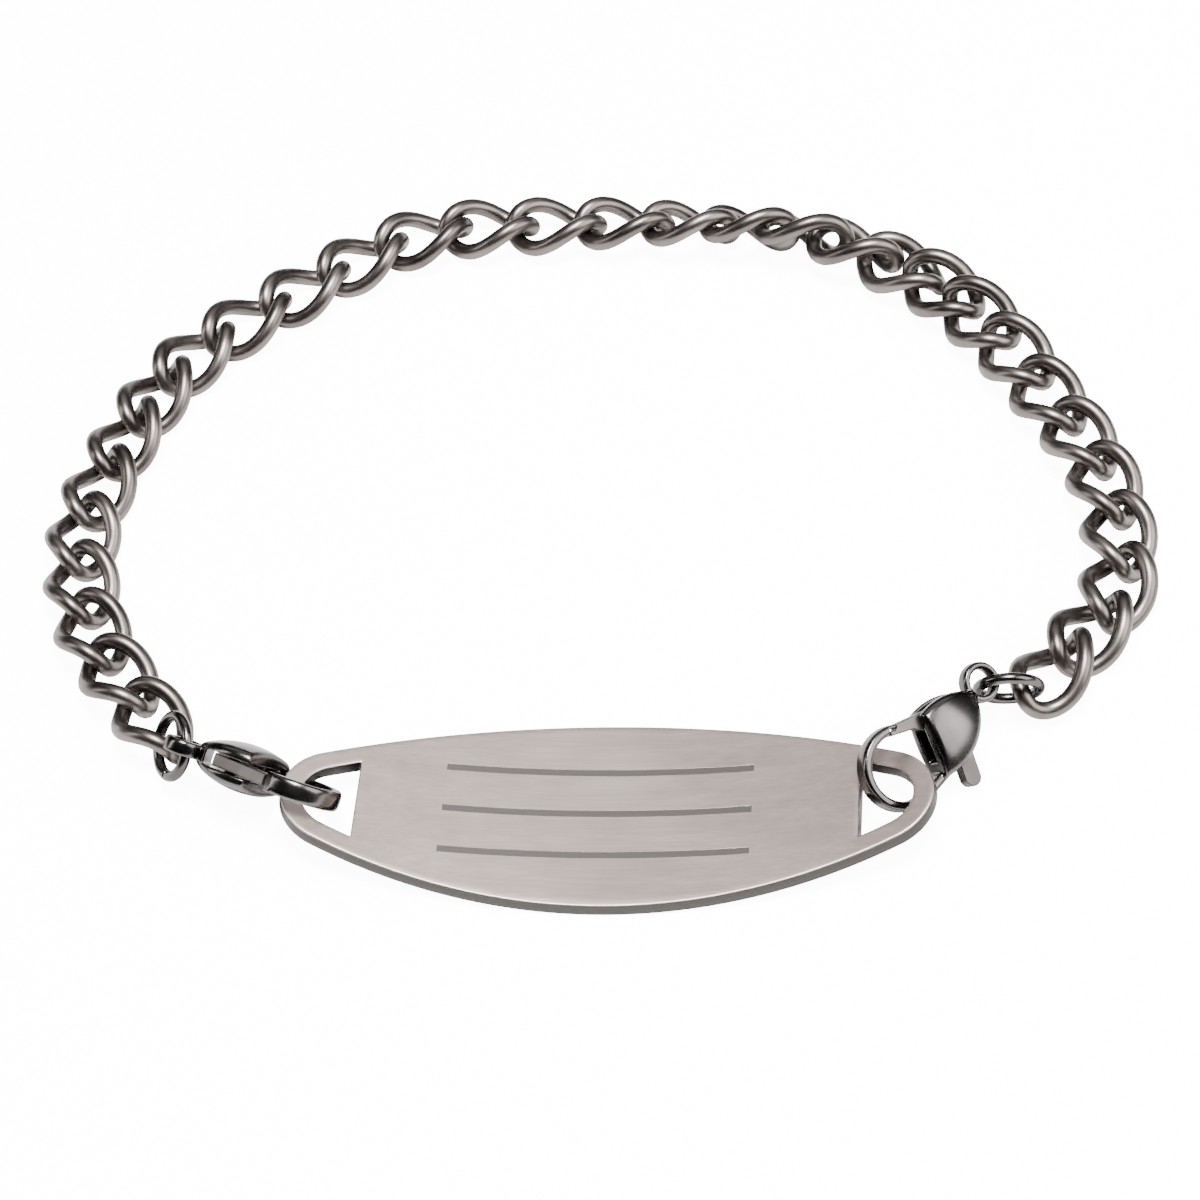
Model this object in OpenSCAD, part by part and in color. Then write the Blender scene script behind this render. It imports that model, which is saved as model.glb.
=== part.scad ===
// Medical alert bracelet lying open on a flat surface: a bent steel plate with a slot at each end,
// a lobster clasp hooked through each slot, a jump ring at each clasp and a curb chain between them.
// Millimetres, +Z up, the surface at Z = 0, the plate's length along X.

/* [Plate] */
// Length of the plate from tip to tip
plate_l = 45.2; // [40:0.2:52]
// Width of the plate at its middle
plate_w = 15.8; // [12:0.2:20]
// Thickness of the plate
plate_t = 1.1; // [0.9:0.05:1.2]
// Radius of the plate's rounded tips
tip_r = 4; // [3:0.1:5]
// Height that the plate's bend lifts its tips above its middle
bend_rise = 2.97; // [2.2:0.01:3.4]
// Width of the rim left around each slot
rim_w = 1.4; // [1.2:0.05:1.5]
// Distance from each tip of the plate to the straight side of its slot
slot_l = 5.1; // [5:0.1:5.6]

/* [Chain] */
// Thickness of the wire of a link
link_wire = 1.3; // [1:0.05:1.4]
// Outer length of a link
link_l = 8.34; // [8.1:0.02:9]
// Outer width of a link
link_w = 5.84; // [5.76:0.02:5.92]
// Angle that each end of a link is twisted from its middle
link_twist = 56; // [54:1:58]

/* [Jump rings] */
// Outer width of a jump ring
ring_d = 5.1; // [4.9:0.05:5.4]
// Thickness of the wire of a jump ring
ring_wire = 0.8; // [0.7:0.02:0.84]
// Width of the slit where a jump ring closes
ring_slit = 0.1; // [0.05:0.05:0.3]

/* [Clasps] */
// Outer radius of the hook's round end
hook_r = 3.05; // [3:0.05:3.1]
// Width of the hook's band, seen from the flat side
hook_band = 0.75; // [0.6:0.05:0.8]
// Depth of the hook's band, across the flat side
hook_depth = 1.45; // [1.3:0.05:1.5]
// Distance from the hook's middle to the trigger's pivot, along the clasp
pivot_x = 5.3; // [5:0.05:5.6]
// Distance of the pivot from the clasp's middle line, on the arm's side
pivot_y = 0.7; // [0.4:0.05:1]
// Distance from the hook's middle to the middle of the eye
eye_x = 9; // [8.8:0.05:9.4]
// Radius of the eye's hole
eye_hole_r = 0.92; // [0.86:0.02:0.96]
// Width of the metal around the eye's hole
eye_rim = 0.54; // [0.5:0.02:0.58]
// Depth of the eye
eye_depth = 1.1; // [1:0.05:1.2]
// Largest thickness of the hollow body
body_t = 3.5; // [3.2:0.1:3.7]
// Thickness of the trigger
trigger_t = 0.9; // [0.7:0.05:1]
// Width of the trigger's thumb tab
tab_w = 1.3; // [1:0.1:1.5]
// Distance from the pivot to the end of the thumb tab
tab_reach = 4.7; // [4:0.1:5]
// Radius of the pivot pin
pin_r = 0.4; // [0.3:0.02:0.5]
// Length of the pivot pin
pin_l = 2.3; // [2:0.05:2.5]

/* [Hidden] */
links = 31;
chain_names = [for (i = [1:links]) str("chain_link_", i < 10 ? "0" : "", i)];

// Clearances between pieces that move or meet
pin_fit = 0.05;
seat_fit = 0.02;
slot_fit = 0.12;
tip_gap = 0.12;
round_fn = 96;

// Middle of the whole loop's outline, seen from above, in the plate's own frame
loop_middle = [-3.1, 27.19];

// Chain route: middle of every second link, seen from above in the plate's own frame, from the left
// clasp round to the right one, with the angle that the chain's flat side is rolled about its route.
// Only its shape counts: its ends are held at the rings, and its length follows from the links.
// Columns: x, y, roll
chain_route = [
    [-33.4, 7.7, 12],
    [-39.3, 16.3, 9],
    [-41.7, 26.1, 6],
    [-40.0, 36.3, -8],
    [-36.0, 45.3, 2],
    [-28.1, 52.6, -4],
    [-19.2, 58.5, -4],
    [-8.5, 59.4, -8],
    [2.4, 58.7, -32],
    [11.6, 57.1, -53],
    [19.3, 53.8, -1],
    [25.3, 47.7, 24],
    [30.6, 39.4, 1],
    [34.7, 30.1, -10],
    [35.4, 20.2, -5],
    [30.8, 12.2, 11]
];

// Clasp places: hook's middle, heading from hook to eye, pitch, roll
left_clasp = [[1.16 - plate_l / 2, 0.16, 3.76], 161.7, 7.8, 52.4];
right_clasp = [[plate_l / 2 - 2.41, 2.18, 3.44], 54.5, 5.6, 43.5];

// Ring places: middle, heading and tilt of the ring's axis, turn of its slit
left_ring = [[-8.57 - plate_l / 2, 4.45, 3.24], -154.4, 56.2, 35];
right_ring = [[plate_l / 2 + 5.07, 9.83, 2.82], 93, 69, 55];

// Where the rings hold the end links: how far out from the plate's tip and back from its middle line
left_hold = [8.441, 4.261];
right_hold = [6.121, 8.585];

// Each link's step along the route as a share of the longest that its wire allows
chain_pull = 0.87004;

steel = [0.62, 0.6, 0.58];
plate_steel = [0.68, 0.65, 0.63];

// Plate: two long arcs joined by round tips, bent along its length
tip_x = plate_l / 2 - tip_r;
edge_r = (tip_x * tip_x + plate_w * plate_w / 4 - tip_r * tip_r) / (plate_w - 2 * tip_r);
join_x = edge_r * tip_x / (edge_r - tip_r);
slot_x = plate_l / 2 - slot_l;
bend_r = plate_l * plate_l / 8 / bend_rise;

// Outline of the plate seen from above, brought in by inset on all sides
module plate_outline(inset) {
    intersection() {
        translate([0, plate_w / 2 - edge_r])
            circle(edge_r - inset, $fn = 3 * round_fn);
        translate([0, edge_r - plate_w / 2])
            circle(edge_r - inset, $fn = 3 * round_fn);
        square([2 * join_x, plate_w], center = true);
    }
    for (side = [-1, 1])
        translate([side * tip_x, 0])
            circle(tip_r - inset, $fn = round_fn);
}

module end_slot(side) {
    intersection() {
        plate_outline(rim_w);
        translate([side * (slot_x + plate_l / 2), 0])
            square([plate_l, plate_w], center = true);
    }
}

module id_plate() {
    color(plate_steel)
        intersection() {
            translate([0, 0, -1])
                linear_extrude(2 * bend_rise + plate_t + 2)
                    difference() {
                        plate_outline(0);
                        end_slot(-1);
                        end_slot(1);
                    }
            translate([0, 0, bend_r + plate_t])
                rotate([90, 0, 0])
                    difference() {
                        cylinder(r = bend_r + plate_t, h = plate_w + 2, center = true, $fn = 4 * round_fn);
                        cylinder(r = bend_r, h = plate_w + 4, center = true, $fn = 4 * round_fn);
                    }
        }
}

// Chain: the route's rows are carried from the line between its two ends as laid to the line between
// them as the rings hold them, and moved out from that line until every link has its step
steps = len(chain_route) - 1;
links_per_row = (links - 1) / steps;
laid_start = flat_of(chain_route[0]);
laid_end = flat_of(chain_route[steps]);
start = [-plate_l / 2 - left_hold.x, left_hold.y] + link_l / 2 * unit(flat_of(chain_route[1]) - laid_start);
end = [plate_l / 2 + right_hold.x, right_hold.y] + link_l / 2 * unit(flat_of(chain_route[steps - 1]) - laid_end);

function flat_of(row) = [row.x, row.y];
function unit(v) = v / norm(v);

// A row's part of the way along the laid line and its distance from it, used on the new line
function moved_row(row, depth) =
    let (
        laid = laid_end - laid_start,
        off = flat_of(row) - laid_start,
        along = off * laid / (laid * laid),
        aside = (laid.x * off.y - laid.y * off.x) / (laid * laid),
        new = end - start,
        spot = start + along * new + depth * aside * [-new.y, new.x]
    )
    [spot.x, spot.y, row.z];

function rows_at(depth) = [for (row = chain_route) moved_row(row, depth)];

function row(rows, j) =
    j < 0 ? 2 * rows[0] - rows[1] :
    j > steps ? 2 * rows[steps] - rows[steps - 1] :
    rows[j];

// Smooth curve through four neighbouring rows a to d, t from 0 at b to 1 at c
function through(a, b, c, d, t) =
    (2 * b + (c - a) * t + (2 * a - 5 * b + 4 * c - d) * t * t + (3 * b - 3 * c + d - a) * t * t * t) / 2;

function route_at(rows, u) =
    let (v = max(0, min(steps - 0.00001, u / links_per_row)), j = floor(v))
    through(row(rows, j - 1), row(rows, j), row(rows, j + 1), row(rows, j + 2), v - j);

// Length run along the route up to each tenth of a link, with the link's number there
tenths = 10 * (links - 1);
function run_of(rows) =
    let (spots = [for (k = [0:tenths]) flat_of(route_at(rows, k / 10))])
    [for (k = 0, run = 0; k <= tenths; k = k + 1, run = run + (k <= tenths ? norm(spots[k] - spots[k - 1]) : 0))
        [run, k / 10]];

function length_of(rows) = run_of(rows)[tenths][0];

// Depth of the loop at which the route has the wanted length, found by repeated correction
function depth_for(wanted, depth, slope, tries) =
    tries == 0 ? depth :
    depth_for(wanted, depth + (wanted - length_of(rows_at(depth))) / slope, slope, tries - 1);

laid_run = run_of(chain_route);
wanted_length = (links - 1) * chain_pull * (link_l - 2 * link_wire);
length_slope = (length_of(rows_at(1.1)) - length_of(rows_at(0.9))) / 0.2;
route_rows = rows_at(depth_for(wanted_length, 1, length_slope, 12));
route_run = run_of(route_rows);
run_growth = route_run[tenths][0] / laid_run[tenths][0];

// A link's number along the stretched route: the one whose run is the laid run grown in proportion
function step_of(u) =
    let (spot = max(0, min(links - 1, u)), k = floor(10 * spot + 0.5))
    lookup(laid_run[k][0] * run_growth, route_run);

// One link lying along X: an oval loop of wire, each end turned about X from the middle
link_a = (link_l - link_wire) / 2;
link_b = (link_w - link_wire) / 2;
wire_points = 18;
wire_sides = 6;

function link_point(t) =
    let (x = link_a * cos(t), y = link_b * sin(t), turn = -link_twist * x / link_a)
    [x, y * cos(turn), y * sin(turn)];

function rolled(p, roll) = [p.x, p.y * cos(roll) - p.z * sin(roll), p.y * sin(roll) + p.z * cos(roll)];

// Height of the link's middle at which its lowest wire rests on the surface
function rest_height(roll) =
    link_wire / 2 - min([for (k = [0:wire_points * 2 - 1]) rolled(link_point(180 * k / wire_points), roll).z]);

// Section corners around the wire at angle t, in the plane across the wire's run
function wire_corners(t) =
    let (
        run = unit(link_point(t + 1) - link_point(t - 1)),
        out = unit(link_point(t)),
        side = unit(cross(run, out)),
        face = cross(side, run)
    )
    [for (m = [0:wire_sides - 1])
        link_point(t) + link_wire / 2 * (cos(360 * m / wire_sides) * face + sin(360 * m / wire_sides) * side)];

module link_loop() {
    points = [for (k = [0:wire_points - 1]) each wire_corners(360 * k / wire_points)];
    function at(k, m) = (k % wire_points) * wire_sides + m % wire_sides;
    faces = [for (k = [0:wire_points - 1], m = [0:wire_sides - 1], half = [0, 1])
        half == 0 ? [at(k, m), at(k + 1, m + 1), at(k, m + 1)] : [at(k, m), at(k + 1, m), at(k + 1, m + 1)]];
    polyhedron(points, faces);
}

module chain_link(i) {
    u = step_of(i - 1);
    here = route_at(route_rows, u);
    ahead = route_at(route_rows, min(u + 0.05, links - 1)) - route_at(route_rows, max(u - 0.05, 0));
    color(steel)
        placed()
            translate([here.x, here.y, rest_height(here.z)])
                rotate([0, 0, atan2(ahead.y, ahead.x)])
                    rotate([here.z, 0, 0])
                        link_loop();
}

// Jump rings: a round wire bent round and closed but for a slit
module jump_ring(place) {
    turn = 2 * asin(ring_slit / (ring_d - ring_wire));
    color(steel)
        placed()
            translate(place[0])
                rotate([0, place[2], place[1]])
                    rotate([0, 0, place[3]])
                        rotate_extrude(angle = 360 - turn, $fn = round_fn)
                            translate([(ring_d - ring_wire) / 2, 0])
                                circle(d = ring_wire, $fn = 32);
}

// Clasp, in its own frame: the hook's middle at the origin, +X to the eye, +Y to the trigger's side
hook_in = hook_r - hook_band;
lap_r = hook_r - hook_band / 2;
tip_angle = 66;
lip_angle = 54;
gap_angle = 3;
pivot = [pivot_x, -pivot_y];
hub_r = 1.15;
heel_foot = [1.25, 0.6];
heel_top = [1.05, 1.4];
eye_y = -0.4;
tab_angle = 245;

// Body seen from the flat side: two arcs that meet at the neck, cut by a slanted front
upper_arc_r = 5;
upper_arc = [4, 1.6 - upper_arc_r];
lower_arc_r = 5.5;
lower_arc = [3.4, lower_arc_r - hook_r];
front_top = [3.6, 1.8];
front_foot = [1.65, -3];
dome_middle = [4.3, -1];
dome_r = 7;
slot_back = 7.1;
root_top = -1.7;
root_back = 3.25;
room_front = 1.95;

function dir(angle) = [cos(angle), sin(angle)];

module part_ring(inner, outer, from) {
    reach = 2 * outer;
    difference() {
        circle(outer, $fn = round_fn);
        circle(inner, $fn = round_fn);
        polygon([[0, 0], [0, -reach], [reach, -reach], [reach, 0], reach * dir(from)]);
    }
}

module hook_plan() {
    part_ring(hook_in, hook_r, tip_angle);
    part_ring(lap_r + tip_gap / 2, hook_r, lip_angle);
    translate([-0.01, -hook_r])
        square([root_back - 0.2, hook_band]);
}

module body_plan() {
    intersection() {
        translate(upper_arc)
            circle(upper_arc_r, $fn = round_fn);
        translate(lower_arc)
            circle(lower_arc_r, $fn = round_fn);
        polygon([front_foot, [eye_x, front_foot.y - 1], [eye_x, front_top.y], front_top]);
    }
}

module dome() {
    intersection() {
        for_dome(-1);
        for_dome(1);
    }
}

module for_dome(side) {
    translate([dome_middle.x, dome_middle.y, side * (body_t / 2 - dome_r)])
        sphere(dome_r, $fn = round_fn);
}

module flat(depth) {
    translate([0, 0, -depth / 2])
        linear_extrude(depth)
            children();
}

module trigger_room() {
    polygon([
        [room_front, hook_r + 1], [slot_back, hook_r + 1], [slot_back, -2 * hook_r],
        [root_back, -2 * hook_r], [root_back, root_top], [room_front, root_top]
    ]);
}

module clasp_body() {
    difference() {
        union() {
            flat(hook_depth)
                hook_plan();
            intersection() {
                flat(body_t)
                    body_plan();
                dome();
            }
            translate([eye_x, eye_y, 0])
                cylinder(r = eye_hole_r + eye_rim, h = eye_depth, center = true, $fn = round_fn);
        }
        translate([eye_x, eye_y, 0])
            cylinder(r = eye_hole_r, h = 2 * eye_depth, center = true, $fn = round_fn);
        flat(trigger_t + 2 * slot_fit)
            trigger_room();
        translate([pivot.x, pivot.y, 0])
            cylinder(r = pin_r + seat_fit, h = pin_l + 2 * seat_fit, center = true, $fn = round_fn);
    }
}

module clasp_trigger() {
    inner = lap_r - tip_gap / 2;
    tip_end = tip_angle - gap_angle;
    lip_end = lip_angle - gap_angle;
    difference() {
        flat(trigger_t)
            union() {
                polygon([
                    inner * dir(tip_end), (hook_in - 0.05) * dir(tip_end), [2.7, 1.1], [pivot.x - hub_r, pivot.y],
                    [pivot.x, pivot.y - 0.5], pivot + [hub_r, 0], pivot + heel_foot, pivot + heel_top,
                    [4, 1.5], hook_r * dir(lip_end), inner * dir(lip_end)
                ]);
                translate(pivot)
                    circle(hub_r, $fn = round_fn);
                translate(pivot)
                    rotate(tab_angle)
                        translate([0, -tab_w / 2])
                            square([tab_reach - tab_w / 2, tab_w]);
                translate(pivot + (tab_reach - tab_w / 2) * dir(tab_angle))
                    circle(tab_w / 2, $fn = round_fn);
            }
        translate([pivot.x, pivot.y, 0])
            cylinder(r = pin_r + pin_fit, h = 2 * trigger_t, center = true, $fn = round_fn);
    }
}

module clasp_pin() {
    translate([pivot.x, pivot.y, 0])
        cylinder(r = pin_r, h = pin_l, center = true, $fn = round_fn);
}

module clasp_at(place) {
    placed()
        translate(place[0])
            rotate([0, 0, place[1]])
                rotate([0, -place[2], 0])
                    rotate([place[3], 0, 0])
                        children();
}

// The whole loop is moved so that its outline's middle stands at the origin
module placed() {
    translate([-loop_middle.x, -loop_middle.y, 0])
        children();
}

placed() id_plate();
color(steel) clasp_at(left_clasp) clasp_body();  // left_clasp_body
color(steel) clasp_at(left_clasp) clasp_trigger();  // left_clasp_trigger
color(steel) clasp_at(left_clasp) clasp_pin();  // left_clasp_pin
color(steel) clasp_at(right_clasp) clasp_body();  // right_clasp_body
color(steel) clasp_at(right_clasp) clasp_trigger();  // right_clasp_trigger
color(steel) clasp_at(right_clasp) clasp_pin();  // right_clasp_pin
jump_ring(left_ring);  // left_jump_ring
jump_ring(right_ring);  // right_jump_ring
for (i = [1:links])
    chain_link(i);
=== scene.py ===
import math
import bpy
import numpy as np
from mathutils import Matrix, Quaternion, Vector


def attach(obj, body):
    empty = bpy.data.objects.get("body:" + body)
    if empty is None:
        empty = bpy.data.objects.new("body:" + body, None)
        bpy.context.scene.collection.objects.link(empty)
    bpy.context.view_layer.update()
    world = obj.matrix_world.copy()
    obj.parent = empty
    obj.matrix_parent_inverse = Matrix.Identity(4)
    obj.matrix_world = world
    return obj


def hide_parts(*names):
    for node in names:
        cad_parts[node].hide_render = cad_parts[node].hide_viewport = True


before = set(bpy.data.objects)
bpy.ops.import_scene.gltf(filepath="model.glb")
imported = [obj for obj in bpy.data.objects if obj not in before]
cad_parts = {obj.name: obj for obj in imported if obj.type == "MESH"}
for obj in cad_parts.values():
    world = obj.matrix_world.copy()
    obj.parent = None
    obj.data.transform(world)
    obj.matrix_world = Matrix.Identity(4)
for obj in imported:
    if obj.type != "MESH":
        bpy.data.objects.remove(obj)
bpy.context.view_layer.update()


# Identification plate
# A pointed oval stamped from stainless sheet and bent a little along its length to follow the wrist.
# Its face is brushed lengthwise, its edges are rounded, and a slot near each end leaves a narrow rim.
MM = 0.001
plate_middle = np.array([3.1, -27.19, 0.0])
plate_length = 45.2
plate_width = 15.8
plate_thick = 1.1
tip_radius = 4.0
bend_rise = 2.97
rim_width = 1.4
slot_length = 5.1
plate_edge = 0.14
slot_start = plate_length / 2 - slot_length

# The bend's radius follows from its chord and rise. The long edges are arcs that touch the tips' circles.
bend_radius = plate_length ** 2 / 8 / bend_rise
tip_middle = plate_length / 2 - tip_radius
edge_radius = (tip_middle ** 2 + plate_width ** 2 / 4 - tip_radius ** 2) / (plate_width - 2 * tip_radius)
join_angle = math.asin(tip_middle / (edge_radius - tip_radius))

# Engraved rules: Y of each row and X of their middle in the shared frame, and no mark below the lowest Z
rule_rows = [-23.53, -27.15, -30.75]
rule_middle = 2.35
rule_half = 10.8
rule_thick = 0.55
rule_wander = 0.06
rule_lowest = 0.9
rule_grey = (0.098, 0.090, 0.086)

# Brushed face, the cut wall painted near-black as painted shade, whose colour starts a little below the face,
# and grain in turns per metre
face_dark = (0.44, 0.358, 0.331)
face_even = (0.545, 0.452, 0.419)
face_light = (0.66, 0.556, 0.518)
painted_wall_shade = (0.045, 0.041, 0.039)
wall_drop = 0.06
edge_tint = (0.85, 0.84, 0.835)
fine_grain = (170, 7000, 7000)
broad_grain = (35, 1300, 1300)
plate_clouds = (110, 160, 160)


def end_line(inset, count):
    """Points round one end of the plate, brought in by an inset and spread evenly.

    The outward direction turns from one long edge, at the slot's start, over the tip to the other edge.
    A point is its arc's middle plus, along that direction, the arc's radius less the inset.
    """
    start = math.asin(slot_start / (edge_radius - inset))
    turn = np.concatenate([
        np.linspace(start, join_angle, 60),
        np.linspace(join_angle, math.pi - join_angle, 240),
        np.linspace(math.pi - join_angle, math.pi - start, 60),
    ])
    on_tip = (turn > join_angle) & (turn < math.pi - join_angle)
    radius = np.where(on_tip, tip_radius, edge_radius) - inset
    arc_middle = (plate_width / 2 - edge_radius) * np.sign(np.cos(turn))
    x = np.where(on_tip, tip_middle, 0) + radius * np.sin(turn)
    y = np.where(on_tip, 0, arc_middle) + radius * np.cos(turn)
    way = np.concatenate([[0], np.cumsum(np.hypot(np.diff(x), np.diff(y)))])
    even = np.linspace(0, way[-1], count)
    return np.interp(even, way, x), np.interp(even, way, y)


def grid_faces(rows, columns, start=0, round_rows=False, round_columns=False):
    """Four-sided faces between neighbouring points of a grid stored row by row, closed round where asked."""
    down = np.arange(rows if round_rows else rows - 1)
    along = np.arange(columns if round_columns else columns - 1)
    row, column = np.meshgrid(down, along, indexing="ij")
    below, beside = (row + 1) % rows, (column + 1) % columns
    corners = [row * columns + column, row * columns + beside,
               below * columns + beside, below * columns + column]
    return np.stack(corners, axis=-1).reshape(-1, 4) + start


def weld(points, faces):
    """Points at the same place become one, and a face that loses corners to it keeps the rest."""
    kept, place = np.unique(np.round(points, 5), axis=0, return_inverse=True)
    faces = place.reshape(-1)[faces]
    return kept, [list(dict.fromkeys(face)) for face in faces.tolist() if len(set(face)) > 2]


def make_mesh(name, points, faces, scale=MM, smooth=True):
    """A mesh object at the origin from points in millimetres, in metres unless another scale is given."""
    mesh = bpy.data.meshes.new(name)
    mesh.from_pydata((np.asarray(points) * scale).tolist(), [], [list(face) for face in faces])
    mesh.polygons.foreach_set("use_smooth", [smooth] * len(mesh.polygons))
    mesh.update()
    made = bpy.data.objects.new(name, mesh)
    bpy.context.scene.collection.objects.link(made)
    return made


def plate_sheet():
    """The plate's upper face as one sheet, all of its faces turned upwards.

    Between the slots a point is (x, part of the half width at x). Round each slot it lies on the straight
    line from the outline to the outline brought in by the rim's width. Its height follows the bend's arc.
    """
    outer_x, outer_y = end_line(0, 110)
    inner_x, inner_y = end_line(rim_width, 110)
    across = np.linspace(0, 1, 5)
    share = inner_y[0] / outer_y[0]
    part = np.concatenate([np.linspace(-1, -share, 5), np.linspace(-share, share, 27)[1:],
                           np.linspace(share, 1, 5)[1:]])
    x = np.linspace(-slot_start, slot_start, 91)
    half = np.sqrt(edge_radius ** 2 - x ** 2) - edge_radius + plate_width / 2
    middle = np.stack([np.tile(x, (len(part), 1)), part[:, None] * half], axis=-1).reshape(-1, 2)
    rim = np.stack([outer_x + across[:, None] * (inner_x - outer_x),
                    outer_y + across[:, None] * (inner_y - outer_y)], axis=-1).reshape(-1, 2)
    points = np.concatenate([middle, rim, rim * [-1, 1]])
    faces = np.concatenate([
        grid_faces(len(part), len(x)),
        grid_faces(len(across), len(outer_x), len(middle)),
        grid_faces(len(across), len(outer_x), len(middle) + len(rim)),
    ])
    corner = points[faces]
    run, rise = corner[:, 2] - corner[:, 0], corner[:, 3] - corner[:, 1]
    turned = run[:, 0] * rise[:, 1] - run[:, 1] * rise[:, 0] < 0
    faces[turned] = faces[turned][:, ::-1]
    height = bend_radius + plate_thick - np.sqrt(bend_radius ** 2 - points[:, 0] ** 2)
    return weld(np.column_stack([points, height]) + plate_middle, faces)


def new_material(name):
    """A material, its nodes, links and surface shader, and the socket with the piece's own coordinates."""
    made = bpy.data.materials.new(name)
    made.use_nodes = True
    nodes = made.node_tree.nodes
    own_place = nodes.new("ShaderNodeTexCoord").outputs["Object"]
    return made, nodes, made.node_tree.links, nodes["Principled BSDF"], own_place


def noise_at(nodes, links, own_place, scale, detail, rough=0.55):
    """Noise on the piece's own coordinates, its scale given for each axis in turns per metre."""
    stretched = nodes.new("ShaderNodeMapping")
    stretched.inputs["Scale"].default_value = scale
    links.new(own_place, stretched.inputs["Vector"])
    noise = nodes.new("ShaderNodeTexNoise")
    noise.inputs["Scale"].default_value = 1.0
    noise.inputs["Detail"].default_value = detail
    noise.inputs["Roughness"].default_value = rough
    links.new(stretched.outputs["Vector"], noise.inputs["Vector"])
    return noise.outputs["Fac"]


def calc(nodes, links, operation, *values):
    """One arithmetic step between sockets or numbers."""
    step = nodes.new("ShaderNodeMath")
    step.operation = operation
    for number, value in enumerate(values):
        if isinstance(value, (int, float)):
            step.inputs[number].default_value = value
        else:
            links.new(value, step.inputs[number])
    return step.outputs[0]


def ramp(nodes, links, value, *stops):
    """Colours between stops, each a position and a colour."""
    made = nodes.new("ShaderNodeValToRGB")
    while len(made.color_ramp.elements) < len(stops):
        made.color_ramp.elements.new(0.5)
    for element, (position, colour) in zip(made.color_ramp.elements, stops):
        element.position = position
        element.color = (*colour, 1.0)
    links.new(value, made.inputs["Fac"])
    return made.outputs["Color"]


def covered(nodes, links, base, share, colour):
    """A colour socket covered by one plain colour where the share is one."""
    mix = nodes.new("ShaderNodeMix")
    mix.data_type = "RGBA"
    links.new(share, mix.inputs["Factor"])
    links.new(base, mix.inputs["A"])
    mix.inputs["B"].default_value = (*colour, 1.0)
    return mix.outputs["Result"]


def spread(nodes, links, value, low, high):
    """A value between nought and one carried to the range from low to high."""
    step = nodes.new("ShaderNodeMapRange")
    step.inputs["To Min"].default_value = low
    step.inputs["To Max"].default_value = high
    links.new(value, step.inputs["Value"])
    return step.outputs["Result"]


def bare_steel(nodes, links, shader, roughness, relief, strength, depth):
    """Uncoated steel: metallic, a little greyer seen edge-on, with fine relief of a depth in millimetres."""
    bump = nodes.new("ShaderNodeBump")
    bump.inputs["Strength"].default_value = strength
    bump.inputs["Distance"].default_value = depth * MM
    links.new(relief, bump.inputs["Height"])
    links.new(bump.outputs["Normal"], shader.inputs["Normal"])
    links.new(roughness, shader.inputs["Roughness"])
    shader.inputs["Metallic"].default_value = 1.0
    shader.inputs["Specular Tint"].default_value = (*edge_tint, 1.0)


def brushed_steel():
    """Brushed sheet: long fine grain along X, cloudy patches, and three plain engraved rules.

    A rule is where X is within half its length of its middle, and Y within half its thickness of its row.
    The cut wall, painted near-black as painted shade along the edges and slot walls, is all that lies a
    little below the bent face, whose height is the thickness plus x squared over twice the bend's radius,
    with x from the plate's middle.
    """
    made, nodes, links, shader, own_place = new_material("brushed_steel")

    def step(operation, *values):
        return calc(nodes, links, operation, *values)

    fine = noise_at(nodes, links, own_place, fine_grain, 4.0)
    broad = noise_at(nodes, links, own_place, broad_grain, 3.0)
    cloud = noise_at(nodes, links, own_place, plate_clouds, 3.0)
    grain = step("MULTIPLY_ADD", fine, 0.6, step("MULTIPLY", broad, 0.4))
    tone = step("MULTIPLY_ADD", grain, 0.65, step("MULTIPLY", cloud, 0.35))
    steel = ramp(nodes, links, tone, (0.30, face_dark), (0.52, face_even), (0.72, face_light))

    split = nodes.new("ShaderNodeSeparateXYZ")
    links.new(own_place, split.inputs[0])
    x, y, z = split.outputs
    wander = step("MULTIPLY", step("SUBTRACT", fine, 0.5), rule_wander * MM)
    from_middle = step("ABSOLUTE", step("SUBTRACT", x, rule_middle * MM))
    inside = step("LESS_THAN", from_middle, rule_half * MM)
    rows = 0.0
    for row in rule_rows:
        away = step("ABSOLUTE", step("SUBTRACT", y, row * MM))
        rows = step("ADD", rows, step("LESS_THAN", step("ADD", away, wander), rule_thick / 2 * MM))
    upper = step("GREATER_THAN", z, rule_lowest * MM)
    mark = step("MULTIPLY", step("MULTIPLY", rows, inside), upper)

    # Painted shade: everything a little below the bent face, the cut wall round the edges and slots, is
    # coloured near-black
    along_squared = step("POWER", step("ABSOLUTE", step("SUBTRACT", x, plate_middle[0] * MM)), 2.0)
    bend_share = 1 / (2 * bend_radius * MM)
    face_height = step("MULTIPLY_ADD", along_squared, bend_share, (plate_thick - wall_drop) * MM)
    wall_shade_part = step("LESS_THAN", z, face_height)
    marked = covered(nodes, links, steel, mark, rule_grey)
    links.new(covered(nodes, links, marked, wall_shade_part, painted_wall_shade), shader.inputs["Base Color"])

    roughness = step("ADD", spread(nodes, links, tone, 0.30, 0.44), step("MULTIPLY", mark, 0.2))
    relief = step("SUBTRACT", grain, step("MULTIPLY", mark, 1.2))
    bare_steel(nodes, links, shader, roughness, relief, 0.35, 0.02)
    return made


plate = make_mesh("plate", *plate_sheet())
plate.data.materials.append(brushed_steel())
wall = plate.modifiers.new("sheet", "SOLIDIFY")
wall.thickness = plate_thick * MM
wall.offset = -1.0
wall.use_even_offset = True
rounding = plate.modifiers.new("edges", "BEVEL")
rounding.width = plate_edge * MM
rounding.segments = 4
rounding.limit_method = "ANGLE"
rounding.angle_limit = math.radians(40)
plate.modifiers.new("shading", "WEIGHTED_NORMAL").keep_sharp = True
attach(plate, "bracelet")
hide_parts("id_plate")


# Lobster clasps, one at each end
# Each is a cast steel body, tumbled to soft edges: a band bent to a hook, two domed cheeks with a slot
# between them, and an eye at the back. Its trigger, stamped from sheet, turns on a small riveted pin.

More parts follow.
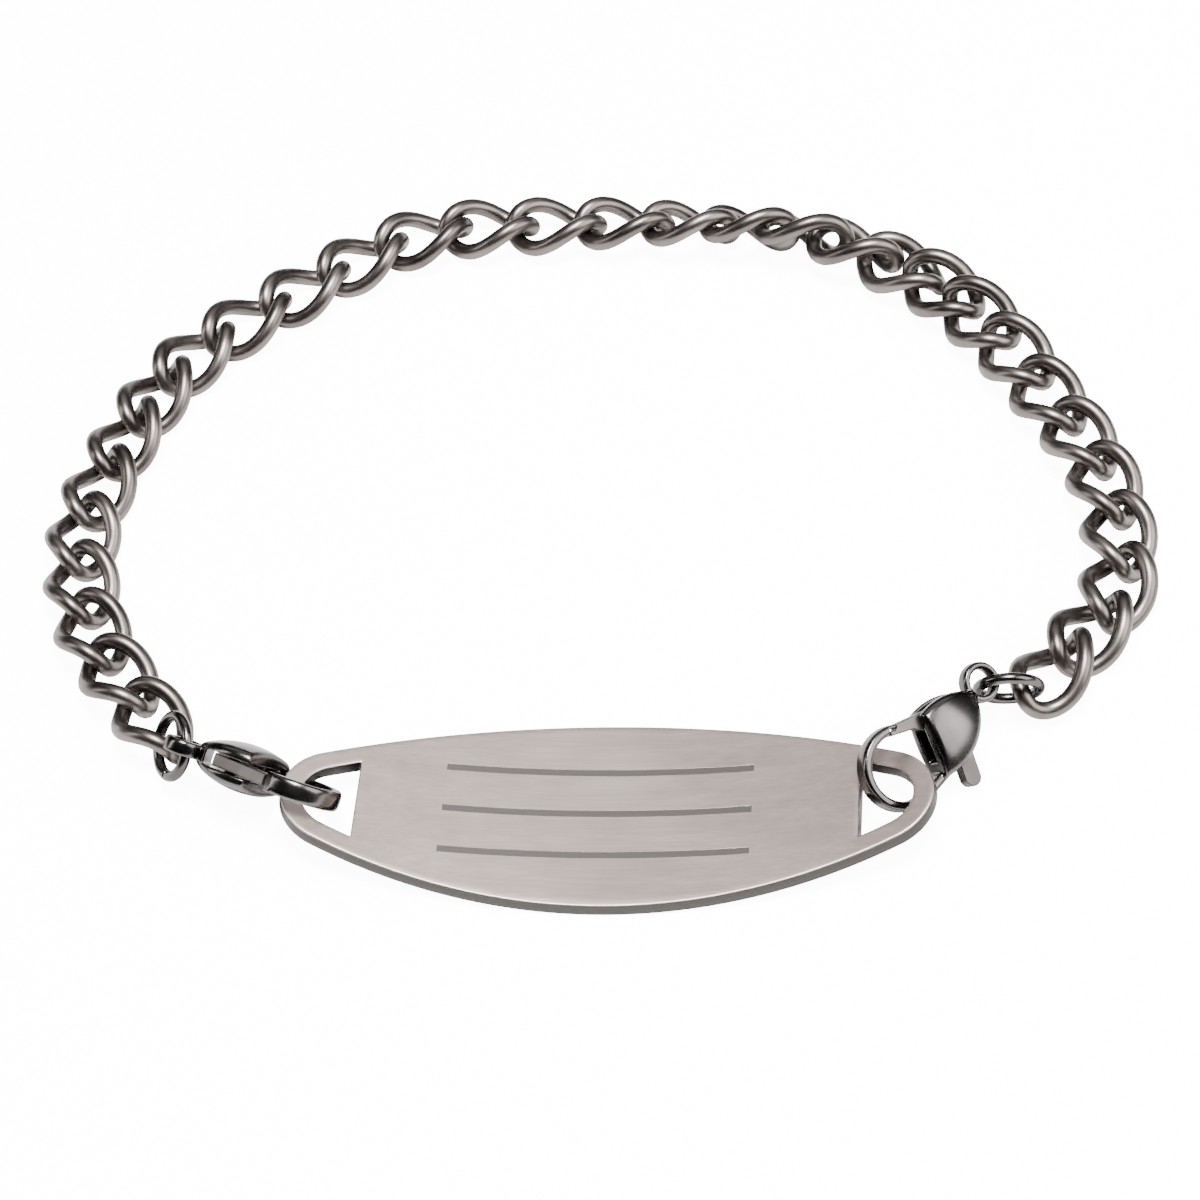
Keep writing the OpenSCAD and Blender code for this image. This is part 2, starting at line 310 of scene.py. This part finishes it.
# Places: the hook's middle from the plate's, heading from hook to eye, pitch and roll
clasp_places = {
    "left": ([-21.44, 0.16, 3.76], 161.7, 7.8, 52.4),
    "right": ([20.19, 2.18, 3.44], 54.5, 5.6, 43.5),
}
hook_outer = 3.05
hook_band = 0.75
hook_depth = 1.45
hook_inner = hook_outer - hook_band
lap_radius = hook_outer - hook_band / 2
lap_gap = 0.12
tip_turn = 66
lip_turn = 54
body_thick = 3.5
eye_place = (9.0, -0.4)
eye_hole = 0.92
eye_rim = 0.54
eye_depth = 1.1

# Plan of the cheeks: arcs as x, y and radius, and the corners of their straight sides
upper_arc = (4.0, -3.4, 5.0)
lower_arc = (3.4, 2.45, 5.5)
front_foot = (1.65, -3.0)
back_foot = (9.0, -4.0)
back_top = (9.0, 1.8)
front_top = (3.6, 1.8)
cheek_heart = np.array([4.9, -0.7])
cheek_edge = 0.42
cheek_least = 0.12
dome_middle = (4.3, -1.0)
dome_radius = 7.0

trigger_thick = 0.9
pivot = np.array([5.3, -0.7])
pin_radius = 0.4
pin_play = 0.05
hub_radius = 1.15
hub_drop = 0.5
heel_foot = np.array([1.25, 0.6])
heel_top = np.array([1.05, 1.4])
nose_top = (4.0, 1.5)
nose_foot = (2.7, 1.1)
nose_turn_gap = 3
nose_play = 0.05
tab_turn = 245
tab_width = 1.3
tab_reach = 4.7

slot_play = 0.12
lever_slot = [(1.95, -1.7), (7.1, 4.05)]
tab_slot = [(3.25, -6.1), (7.1, 4.05)]
cut_reach = 3.0
cheek_grain = 0.055
skin_grain = 0.062
steel_clouds = (260, 260, 260)
hairlines = (1500, 700, 1900)


def turn_about(axis, angle):
    """Rotation matrix about one axis by an angle in degrees: cosines and sines on the other two axes."""
    cosine, sine = math.cos(math.radians(angle)), math.sin(math.radians(angle))
    one, two = (axis + 1) % 3, (axis + 2) % 3
    made = np.eye(3)
    made[one, one] = made[two, two] = cosine
    made[one, two], made[two, one] = -sine, sine
    return made


def place_on(points, place):
    """Points of a piece's own frame rolled about X, pitched, turned to their heading and moved in place."""
    spot, heading, pitch, roll = place
    turned = turn_about(2, heading) @ turn_about(1, -pitch) @ turn_about(0, roll)
    return points @ turned.T + spot + plate_middle


def ray_length(start, way, circles, corners):
    """How far rays from an inner point run before they leave all the circles and the ring of corners.

    A ray leaves a circle at the larger root of its quadratic, and a side at its distance over the
    ray's share across it. The shortest of these is taken.
    """
    beyond, least_speed = 1e3, 1e-6
    reach = np.full(len(way), beyond)
    for x, y, radius in circles:
        off = start - [x, y]
        along = way @ off
        reach = np.minimum(reach, -along + np.sqrt(along ** 2 - off @ off + radius ** 2))
    for corner, following in zip(corners, np.roll(corners, -1, axis=0)):
        out = np.array([following[1] - corner[1], corner[0] - following[0]])
        speed = way @ out
        room = (corner - start) @ out
        length = np.where(speed > least_speed, room / np.maximum(speed, least_speed), beyond)
        reach = np.minimum(reach, length)
    return reach


def cheek_block():
    """The cheeks before the slot is cut: a rounded drop shape with a domed face on either side.

    A point is the inner point plus a share of the way to the plan's border, at the dome's height there.
    Near the border the share and the height follow a quarter circle, which rounds the edge.
    """
    turn = np.linspace(0, 2 * math.pi, 540, endpoint=False)
    way = np.column_stack([np.cos(turn), np.sin(turn)])
    corners = np.array([front_foot, back_foot, back_top, front_top])
    reach = ray_length(cheek_heart, way, [upper_arc, lower_arc], corners)
    flat_rows = 24
    bend = np.linspace(0, math.pi / 2, 8)[1:, None]
    flat_part = np.linspace(0, 1, flat_rows)[:, None] * (reach - cheek_edge)
    round_part = reach - cheek_edge + cheek_edge * np.sin(bend)
    out = np.concatenate([flat_part, round_part])
    sunk = np.concatenate([np.zeros((flat_rows, 1)), cheek_edge * (1 - np.cos(bend))])
    x = cheek_heart[0] + out * way[:, 0]
    y = cheek_heart[1] + out * way[:, 1]
    off_squared = (x - dome_middle[0]) ** 2 + (y - dome_middle[1]) ** 2
    dome = body_thick / 2 - dome_radius + np.sqrt(dome_radius ** 2 - off_squared)
    upper = np.stack([x, y, np.maximum(dome - sunk, cheek_least)], axis=-1)
    points = np.concatenate([upper, upper[::-1] * [1, 1, -1]])
    return weld(points.reshape(-1, 3), grid_faces(len(points), len(turn), round_columns=True))


def loop_section(half_width, half_depth, count=28, power=3.2):
    """A rounded rectangle as a superellipse: each of cosine and sine raised to two over the power."""
    turn = np.linspace(0, 2 * math.pi, count, endpoint=False)
    cosine, sine = np.cos(turn), np.sin(turn)
    return np.column_stack([half_width * np.sign(cosine) * np.abs(cosine) ** (2 / power),
                            half_depth * np.sign(sine) * np.abs(sine) ** (2 / power)])


def hook_band_solid():
    """The hook: a rounded band carried round from its tip to its foot and straight on under the cheeks.

    A point is the path's middle radius plus the section's width along the radius, and its depth along Z.
    Over the tip's lap only the outer half of the band's width is left, and both ends close to a point.
    """
    lap_turns = [lip_turn, lip_turn, tip_turn]
    band_turns = np.linspace(tip_turn + 2, 270, 90)
    turn = np.radians(np.concatenate([lap_turns, [tip_turn + 0.5], band_turns]))
    inner = np.full(len(turn), hook_inner)
    inner[:len(lap_turns)] = lap_radius + lap_gap / 2
    middle, half = (hook_outer + inner) / 2, (hook_outer - inner) / 2
    half[0] = 0.0
    section = loop_section(1.0, 1.0)
    depth = np.full(len(turn), hook_depth / 2)
    depth[0] = 0.0
    radius = middle[:, None] + half[:, None] * section[:, 0]
    bent = np.stack([radius * np.cos(turn)[:, None], radius * np.sin(turn)[:, None],
                     depth[:, None] * section[:, 1]], axis=-1)
    run_on = np.array([0.0, 1.0, 2.0, 3.0, 3.0])
    straight = bent[-1:] + run_on[:, None, None] * [1.0, 0, 0]
    straight[-1] = straight[-1].mean(axis=0)
    points = np.concatenate([bent, straight])
    return weld(points.reshape(-1, 3), grid_faces(len(points), len(section), round_columns=True))


def eye_solid():
    """The eye: a rounded section carried once round the eye's middle."""
    section = loop_section(eye_rim / 2, eye_depth / 2)
    turn = np.linspace(0, 2 * math.pi, 72, endpoint=False)
    radius = eye_hole + eye_rim / 2 + section[:, 0]
    points = np.stack([eye_place[0] + radius * np.cos(turn)[:, None],
                       eye_place[1] + radius * np.sin(turn)[:, None],
                       np.tile(section[:, 1], (len(turn), 1))], axis=-1)
    return points.reshape(-1, 3), grid_faces(len(turn), len(section), round_rows=True, round_columns=True)


def prism(outline, low, high):
    """A flat outline given a thickness: a ring of corners below and above, with a side between each pair."""
    count = len(outline)
    points = np.concatenate([np.column_stack([outline, np.full(count, z)]) for z in (low, high)])
    ends = [list(range(count))[::-1], list(range(count, 2 * count))]
    return points, grid_faces(2, count, round_columns=True).tolist() + ends


def disc(middle, radius, count=72):
    """Corners of a round outline: the middle plus the radius along evenly turned directions."""
    turn = np.linspace(0, 2 * math.pi, count, endpoint=False)
    return np.column_stack([middle[0] + radius * np.cos(turn), middle[1] + radius * np.sin(turn)])


def oblong(low, high):
    """Corners of an upright oblong from its lowest to its highest corner."""
    return np.array([low, (high[0], low[1]), high, (low[0], high[1])])


def outward(points, faces):
    """Faces of a closed form, turned over where the volume they enclose comes out negative.

    Six times the volume is the sum, over all the faces' triangles, of one corner times the cross
    product of the other two.
    """
    points = np.asarray(points)
    fans = [(face[0], face[k], face[k + 1]) for face in faces for k in range(1, len(face) - 1)]
    first, second, third = (points[[fan[k] for fan in fans]] for k in range(3))
    six_volumes = (first * np.cross(second, third)).sum()
    return points, [list(face)[::-1] for face in faces] if six_volumes < 0 else faces


def gather(parts):
    """Several closed forms side by side in one mesh, all facing outwards."""
    points, faces, count = [], [], 0
    for part in parts:
        spots, sides = outward(*part)
        points.append(spots)
        faces += [[corner + count for corner in side] for side in sides]
        count += len(spots)
    return np.concatenate(points), faces


def cast(parts, cutters, cut_first, grain, soften):
    """Overlapping closed forms run together into one skin with soft edges, as a tumbled casting has.

    The forms share a mesh in millimetres, which is cut by the cutters, covered by an even skin of faces
    of the grain's size, and smoothed. The result is given back as points and faces.
    """
    work = make_mesh("work", *gather(parts), scale=1.0)
    tools = [make_mesh("tool", *outward(*cutter), scale=1.0) for cutter in cutters]

    def cut():
        for tool in tools:
            step = work.modifiers.new("cut", "BOOLEAN")
            step.operation = "DIFFERENCE"
            step.solver = "EXACT"
            step.object = tool

    if cut_first:
        cut()
    skin = work.modifiers.new("skin", "REMESH")
    skin.mode = "VOXEL"
    skin.voxel_size = grain
    if not cut_first:
        cut()
    soft = work.modifiers.new("soft", "SMOOTH")
    soft.factor = 0.5
    soft.iterations = soften
    bpy.context.view_layer.update()
    ready = work.evaluated_get(bpy.context.evaluated_depsgraph_get())
    mesh = ready.to_mesh()
    points = np.empty(len(mesh.vertices) * 3)
    mesh.vertices.foreach_get("co", points)
    faces = [list(side.vertices) for side in mesh.polygons]
    ready.to_mesh_clear()
    for used in [work] + tools:
        bpy.data.objects.remove(used, do_unlink=True)
    return points.reshape(-1, 3), faces


def direction(angle):
    """Unit vector at an angle in degrees."""
    return np.array([math.cos(math.radians(angle)), math.sin(math.radians(angle))])


def trigger_solids():
    """The trigger's flat blank: nose with its heel, round hub and thumb tab, prisms of one thickness."""
    inner = lap_radius - lap_gap / 2
    under_tip = direction(tip_turn - nose_turn_gap)
    under_lip = direction(lip_turn - nose_turn_gap)
    nose = np.array([
        inner * under_tip,
        (hook_inner - nose_play) * under_tip,
        nose_foot,
        pivot - [hub_radius, 0],
        pivot - [0, hub_drop],
        pivot + [hub_radius, 0],
        pivot + heel_foot,
        pivot + heel_top,
        nose_top,
        hook_outer * under_lip,
        inner * under_lip,
    ])
    along = direction(tab_turn)
    aside = np.array([-along[1], along[0]]) * tab_width / 2
    end = pivot + (tab_reach - tab_width / 2) * along
    tab = np.array([pivot - aside, end - aside, end + aside, pivot + aside])
    outlines = [nose, disc(pivot, hub_radius), tab, disc(end, tab_width / 2)]
    return [prism(outline, -trigger_thick / 2, trigger_thick / 2) for outline in outlines]


def tumbled_steel(name, dark, light, low, high):
    """Tumbled metal with faint hairlines and clouds, its colour and its roughness each between two values."""
    made, nodes, links, shader, own_place = new_material(name)
    cloud = noise_at(nodes, links, own_place, steel_clouds, 2.0)
    hair = noise_at(nodes, links, own_place, hairlines, 2.0, 0.5)
    links.new(ramp(nodes, links, cloud, (0.30, dark), (0.70, light)), shader.inputs["Base Color"])
    mixed = calc(nodes, links, "MULTIPLY_ADD", hair, 0.35, calc(nodes, links, "MULTIPLY", cloud, 0.65))
    bare_steel(nodes, links, shader, spread(nodes, links, mixed, low, high), mixed, 0.10, 0.05)
    return made


polished = tumbled_steel("polished_steel", (0.062, 0.0565, 0.0545), (0.118, 0.109, 0.106), 0.15, 0.30)
stamped = tumbled_steel("stamped_steel", (0.070, 0.062, 0.059), (0.128, 0.115, 0.110), 0.30, 0.42)
slot_half = trigger_thick / 2 + slot_play
body_cutters = [prism(oblong(*lever_slot), -slot_half, slot_half),
                prism(oblong(*tab_slot), -slot_half, slot_half),
                prism(disc(eye_place, eye_hole), -cut_reach, cut_reach)]
pin_bore = prism(disc(pivot, pin_radius + pin_play, 48), -cut_reach, cut_reach)
cheeks = cast([cheek_block()], body_cutters, cut_first=True, grain=cheek_grain, soften=2)
body_skin = cast([cheeks, hook_band_solid(), eye_solid()], [], cut_first=True, grain=skin_grain, soften=5)
trigger_skin = cast(trigger_solids(), [pin_bore], cut_first=False, grain=skin_grain, soften=3)
for side, place in clasp_places.items():
    body = make_mesh(side + "_clasp_casting", place_on(body_skin[0], place), body_skin[1])
    trigger = make_mesh(side + "_clasp_lever", place_on(trigger_skin[0], place), trigger_skin[1])
    for piece, finish, rides, node in ((body, polished, "bracelet", "_clasp_body"),
                                       (trigger, stamped, side + "_trigger", "_clasp_trigger")):
        piece.data.materials.append(finish)
        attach(piece, rides)
        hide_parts(side + node)
    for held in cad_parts[side + "_clasp_pin"].material_slots:
        held.material = polished


# Jump rings
# A short piece of round steel wire is bent round and pushed shut, so that a fine slit stays where its
# ends meet. One ring joins each clasp's eye to the chain's last link.

# Places: the ring's middle from the plate's, heading and tilt of its axis, turn of its slit
ring_places = {
    "left": ([-31.17, 4.45, 3.24], -154.4, 56.2, 35),
    "right": ([27.67, 9.83, 2.82], 93, 69, 55),
}
ring_radius = 2.15
ring_wire = 0.4
ring_slit = 0.1


def ring_solid(spot, heading, tilt, slit):
    """Round wire carried nearly once round: a point is the ring's radius plus the wire's along its section.

    The two ends close to a point, on either side of the slit.
    """
    half_slit = math.asin(ring_slit / 2 / ring_radius)
    turn = np.linspace(0, 2 * math.pi - 2 * half_slit, 97)
    turn = np.concatenate([turn[:1], turn, turn[-1:]]) + math.radians(slit)
    wire = np.full(len(turn), ring_wire)[:, None]
    wire[[0, -1]] = 0.0
    around = np.linspace(0, 2 * math.pi, 20, endpoint=False)
    radius = ring_radius + wire * np.cos(around)
    points = np.stack([radius * np.cos(turn)[:, None], radius * np.sin(turn)[:, None],
                       wire * np.sin(around)], axis=-1).reshape(-1, 3)
    placed = place_on(points, (spot, heading, -tilt, 0))
    return outward(*weld(placed, grid_faces(len(turn), len(around), round_columns=True)))


for side, place in ring_places.items():
    ring = make_mesh(side + "_ring", *ring_solid(*place))
    ring.data.materials.append(polished)
    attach(ring, "bracelet")
    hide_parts(side + "_jump_ring")


# Chain
# Thirty-one open curb links of round steel wire. Each is an oval loop with its two ends turned about
# its length, so that the links lie flat, hooked through each other and resting on the surface.
links_in_chain = 31
link_length = 8.34
link_width = 5.84
link_twist = math.radians(56)

# Half the wire's thickness that a link's line and height are worked out for, and the finer one it is given
link_wire = 0.65
wire_shown = 0.64
link_a = link_length / 2 - link_wire
link_b = link_width / 2 - link_wire

# Route through every second link's middle, from the left ring round to the right one: x, y, roll
chain_route = np.array([
    [-33.4, 7.7, 12], [-39.3, 16.3, 9], [-41.7, 26.1, 6], [-40.0, 36.3, -8],
    [-36.0, 45.3, 2], [-28.1, 52.6, -4], [-19.2, 58.5, -4], [-8.5, 59.4, -8],
    [2.4, 58.7, -32], [11.6, 57.1, -53], [19.3, 53.8, -1], [25.3, 47.7, 24],
    [30.6, 39.4, 1], [34.7, 30.1, -10], [35.4, 20.2, -5], [30.8, 12.2, 11],
])

# How far before and behind a link, in links, the route's heading is taken
heading_step = 0.05


def link_line(turn):
    """Middle line of a link's wire: an oval whose width is turned about X in step with its place along X."""
    x, y = link_a * np.cos(turn), link_b * np.sin(turn)
    lean = -link_twist * x / link_a
    return np.stack([x, y * np.cos(lean), y * np.sin(lean)], axis=-1)


def route_at(step):
    """Place and roll at a link's number, on the smooth curve through the route's rows.

    Between two rows it is the cubic that meets both, with slopes of half the way between each one's
    neighbours. The route is carried straight on by one row at either end.
    """
    last = len(chain_route) - 1
    rows = np.concatenate([[2 * chain_route[0] - chain_route[1]], chain_route,
                           [2 * chain_route[last] - chain_route[last - 1]]])
    value = min(max(step * last / (links_in_chain - 1), 0), last - 0.00001)
    row, t = int(value), value % 1
    a, b, c, d = rows[row:row + 4]
    return (2 * b + (c - a) * t + (2 * a - 5 * b + 4 * c - d) * t ** 2 + (3 * b - 3 * c + d - a) * t ** 3) / 2


def unit(rows):
    """Each row scaled to length one."""
    return rows / np.linalg.norm(rows, axis=1)[:, None]


def link_solid():
    """Round wire carried round the middle line, its section in the plane across the line's run."""
    turn = np.linspace(0, 2 * math.pi, 72, endpoint=False)
    around = np.linspace(0, 2 * math.pi, 16, endpoint=False)[:, None]
    line = link_line(turn)
    run = unit(link_line(turn + 0.01) - link_line(turn - 0.01))
    aside = unit(np.cross(run, unit(line)))
    outside = np.cross(aside, run)
    section = np.cos(around) * outside[:, None] + np.sin(around) * aside[:, None]
    points = (line[:, None] + wire_shown * section).reshape(-1, 3)
    faces = grid_faces(len(turn), len(around), round_rows=True, round_columns=True)
    return outward(points, faces.tolist())


satin = tumbled_steel("satin_steel", (0.093, 0.079, 0.074), (0.172, 0.150, 0.141), 0.27, 0.40)
link_points, link_faces = link_solid()
middle_line = link_line(np.linspace(0, 2 * math.pi, 72, endpoint=False))
for number in range(links_in_chain):
    x, y, roll = route_at(number)
    ahead, behind = min(number + heading_step, links_in_chain - 1), max(number - heading_step, 0)
    run = route_at(ahead) - route_at(behind)
    heading = math.degrees(math.atan2(run[1], run[0]))
    lowest = (middle_line @ turn_about(0, roll).T)[:, 2].min()
    place = ([x, y, link_wire - lowest], heading, 0, roll)
    link = make_mesh(f"link_{number + 1:02d}", place_on(link_points, place), link_faces)
    link.data.materials.append(satin)
    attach(link, "bracelet")
    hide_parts(f"chain_link_{number + 1:02d}")


# Surface, light and camera
# The bracelet lies on a plain white table under four large soft lamps, seen from above its front with a
# long lens. The table's glow reaches the camera alone, so that it shows as pure white and lights nothing.
table_metres = 3.0
table_white = (0.95, 0.95, 0.95, 1.0)
table_glow = 12.0


def table_paint():
    """Matt white, whose glow is the table's glow for rays from the camera and nought for all others."""
    made, nodes, links, shader, _ = new_material("table_paint")
    rays = nodes.new("ShaderNodeLightPath")
    glow = calc(nodes, links, "MULTIPLY", rays.outputs["Is Camera Ray"], table_glow)
    links.new(glow, shader.inputs["Emission Strength"])
    shader.inputs["Emission Color"].default_value = (1.0, 1.0, 1.0, 1.0)
    shader.inputs["Base Color"].default_value = table_white
    shader.inputs["Roughness"].default_value = 0.9
    shader.inputs["Specular IOR Level"].default_value = 0.1
    return made


table_corners = np.array([[-1, -1, 0], [1, -1, 0], [1, 1, 0], [-1, 1, 0]]) * table_metres / 2
table = make_mesh("table", table_corners, [[0, 1, 2, 3]], scale=1.0, smooth=False)
table.data.materials.append(table_paint())


def lamp(name, spot, width, depth, power):
    """A soft rectangular lamp at a spot in millimetres, turned to the origin, its power in watts."""
    light = bpy.data.lights.new(name, "AREA")
    light.shape = "RECTANGLE"
    light.size = width * MM
    light.size_y = depth * MM
    light.energy = power
    made = bpy.data.objects.new(name, light)
    made.location = Vector(spot) * MM
    made.rotation_euler = (-Vector(spot)).to_track_quat("-Z", "Y").to_euler()
    bpy.context.scene.collection.objects.link(made)


lamp("back_softbox", (-20, 430, 470), 760, 330, 0.71)
lamp("overhead", (60, -60, 640), 240, 240, 14.3)
lamp("left_strip", (-520, -60, 260), 90, 420, 1.03)
lamp("right_softbox", (480, -110, 350), 460, 430, 4.9)
room = bpy.data.worlds.new("room")
room.use_nodes = True
room_light = room.node_tree.nodes["Background"].inputs
room_light["Color"].default_value = (0.55, 0.56, 0.58, 1.0)
room_light["Strength"].default_value = 0.0086
bpy.context.scene.world = room

camera_spot = Vector((33.03, -180.49, 196.7)) * MM
camera_aim = Vector((0.88, -6.34, 0.0)) * MM
camera_roll = math.radians(8.22)
view = bpy.data.cameras.new("camera")
view.lens = 108.0
view.sensor_width = 36.0
view.clip_start = 0.01
view.clip_end = 20.0
camera = bpy.data.objects.new("camera", view)
towards = (camera_aim - camera_spot).to_track_quat("-Z", "Y")
camera.rotation_mode = "QUATERNION"
camera.rotation_quaternion = towards @ Quaternion((0, 0, 1), -camera_roll)
camera.location = camera_spot
bpy.context.scene.collection.objects.link(camera)
bpy.context.scene.camera = camera
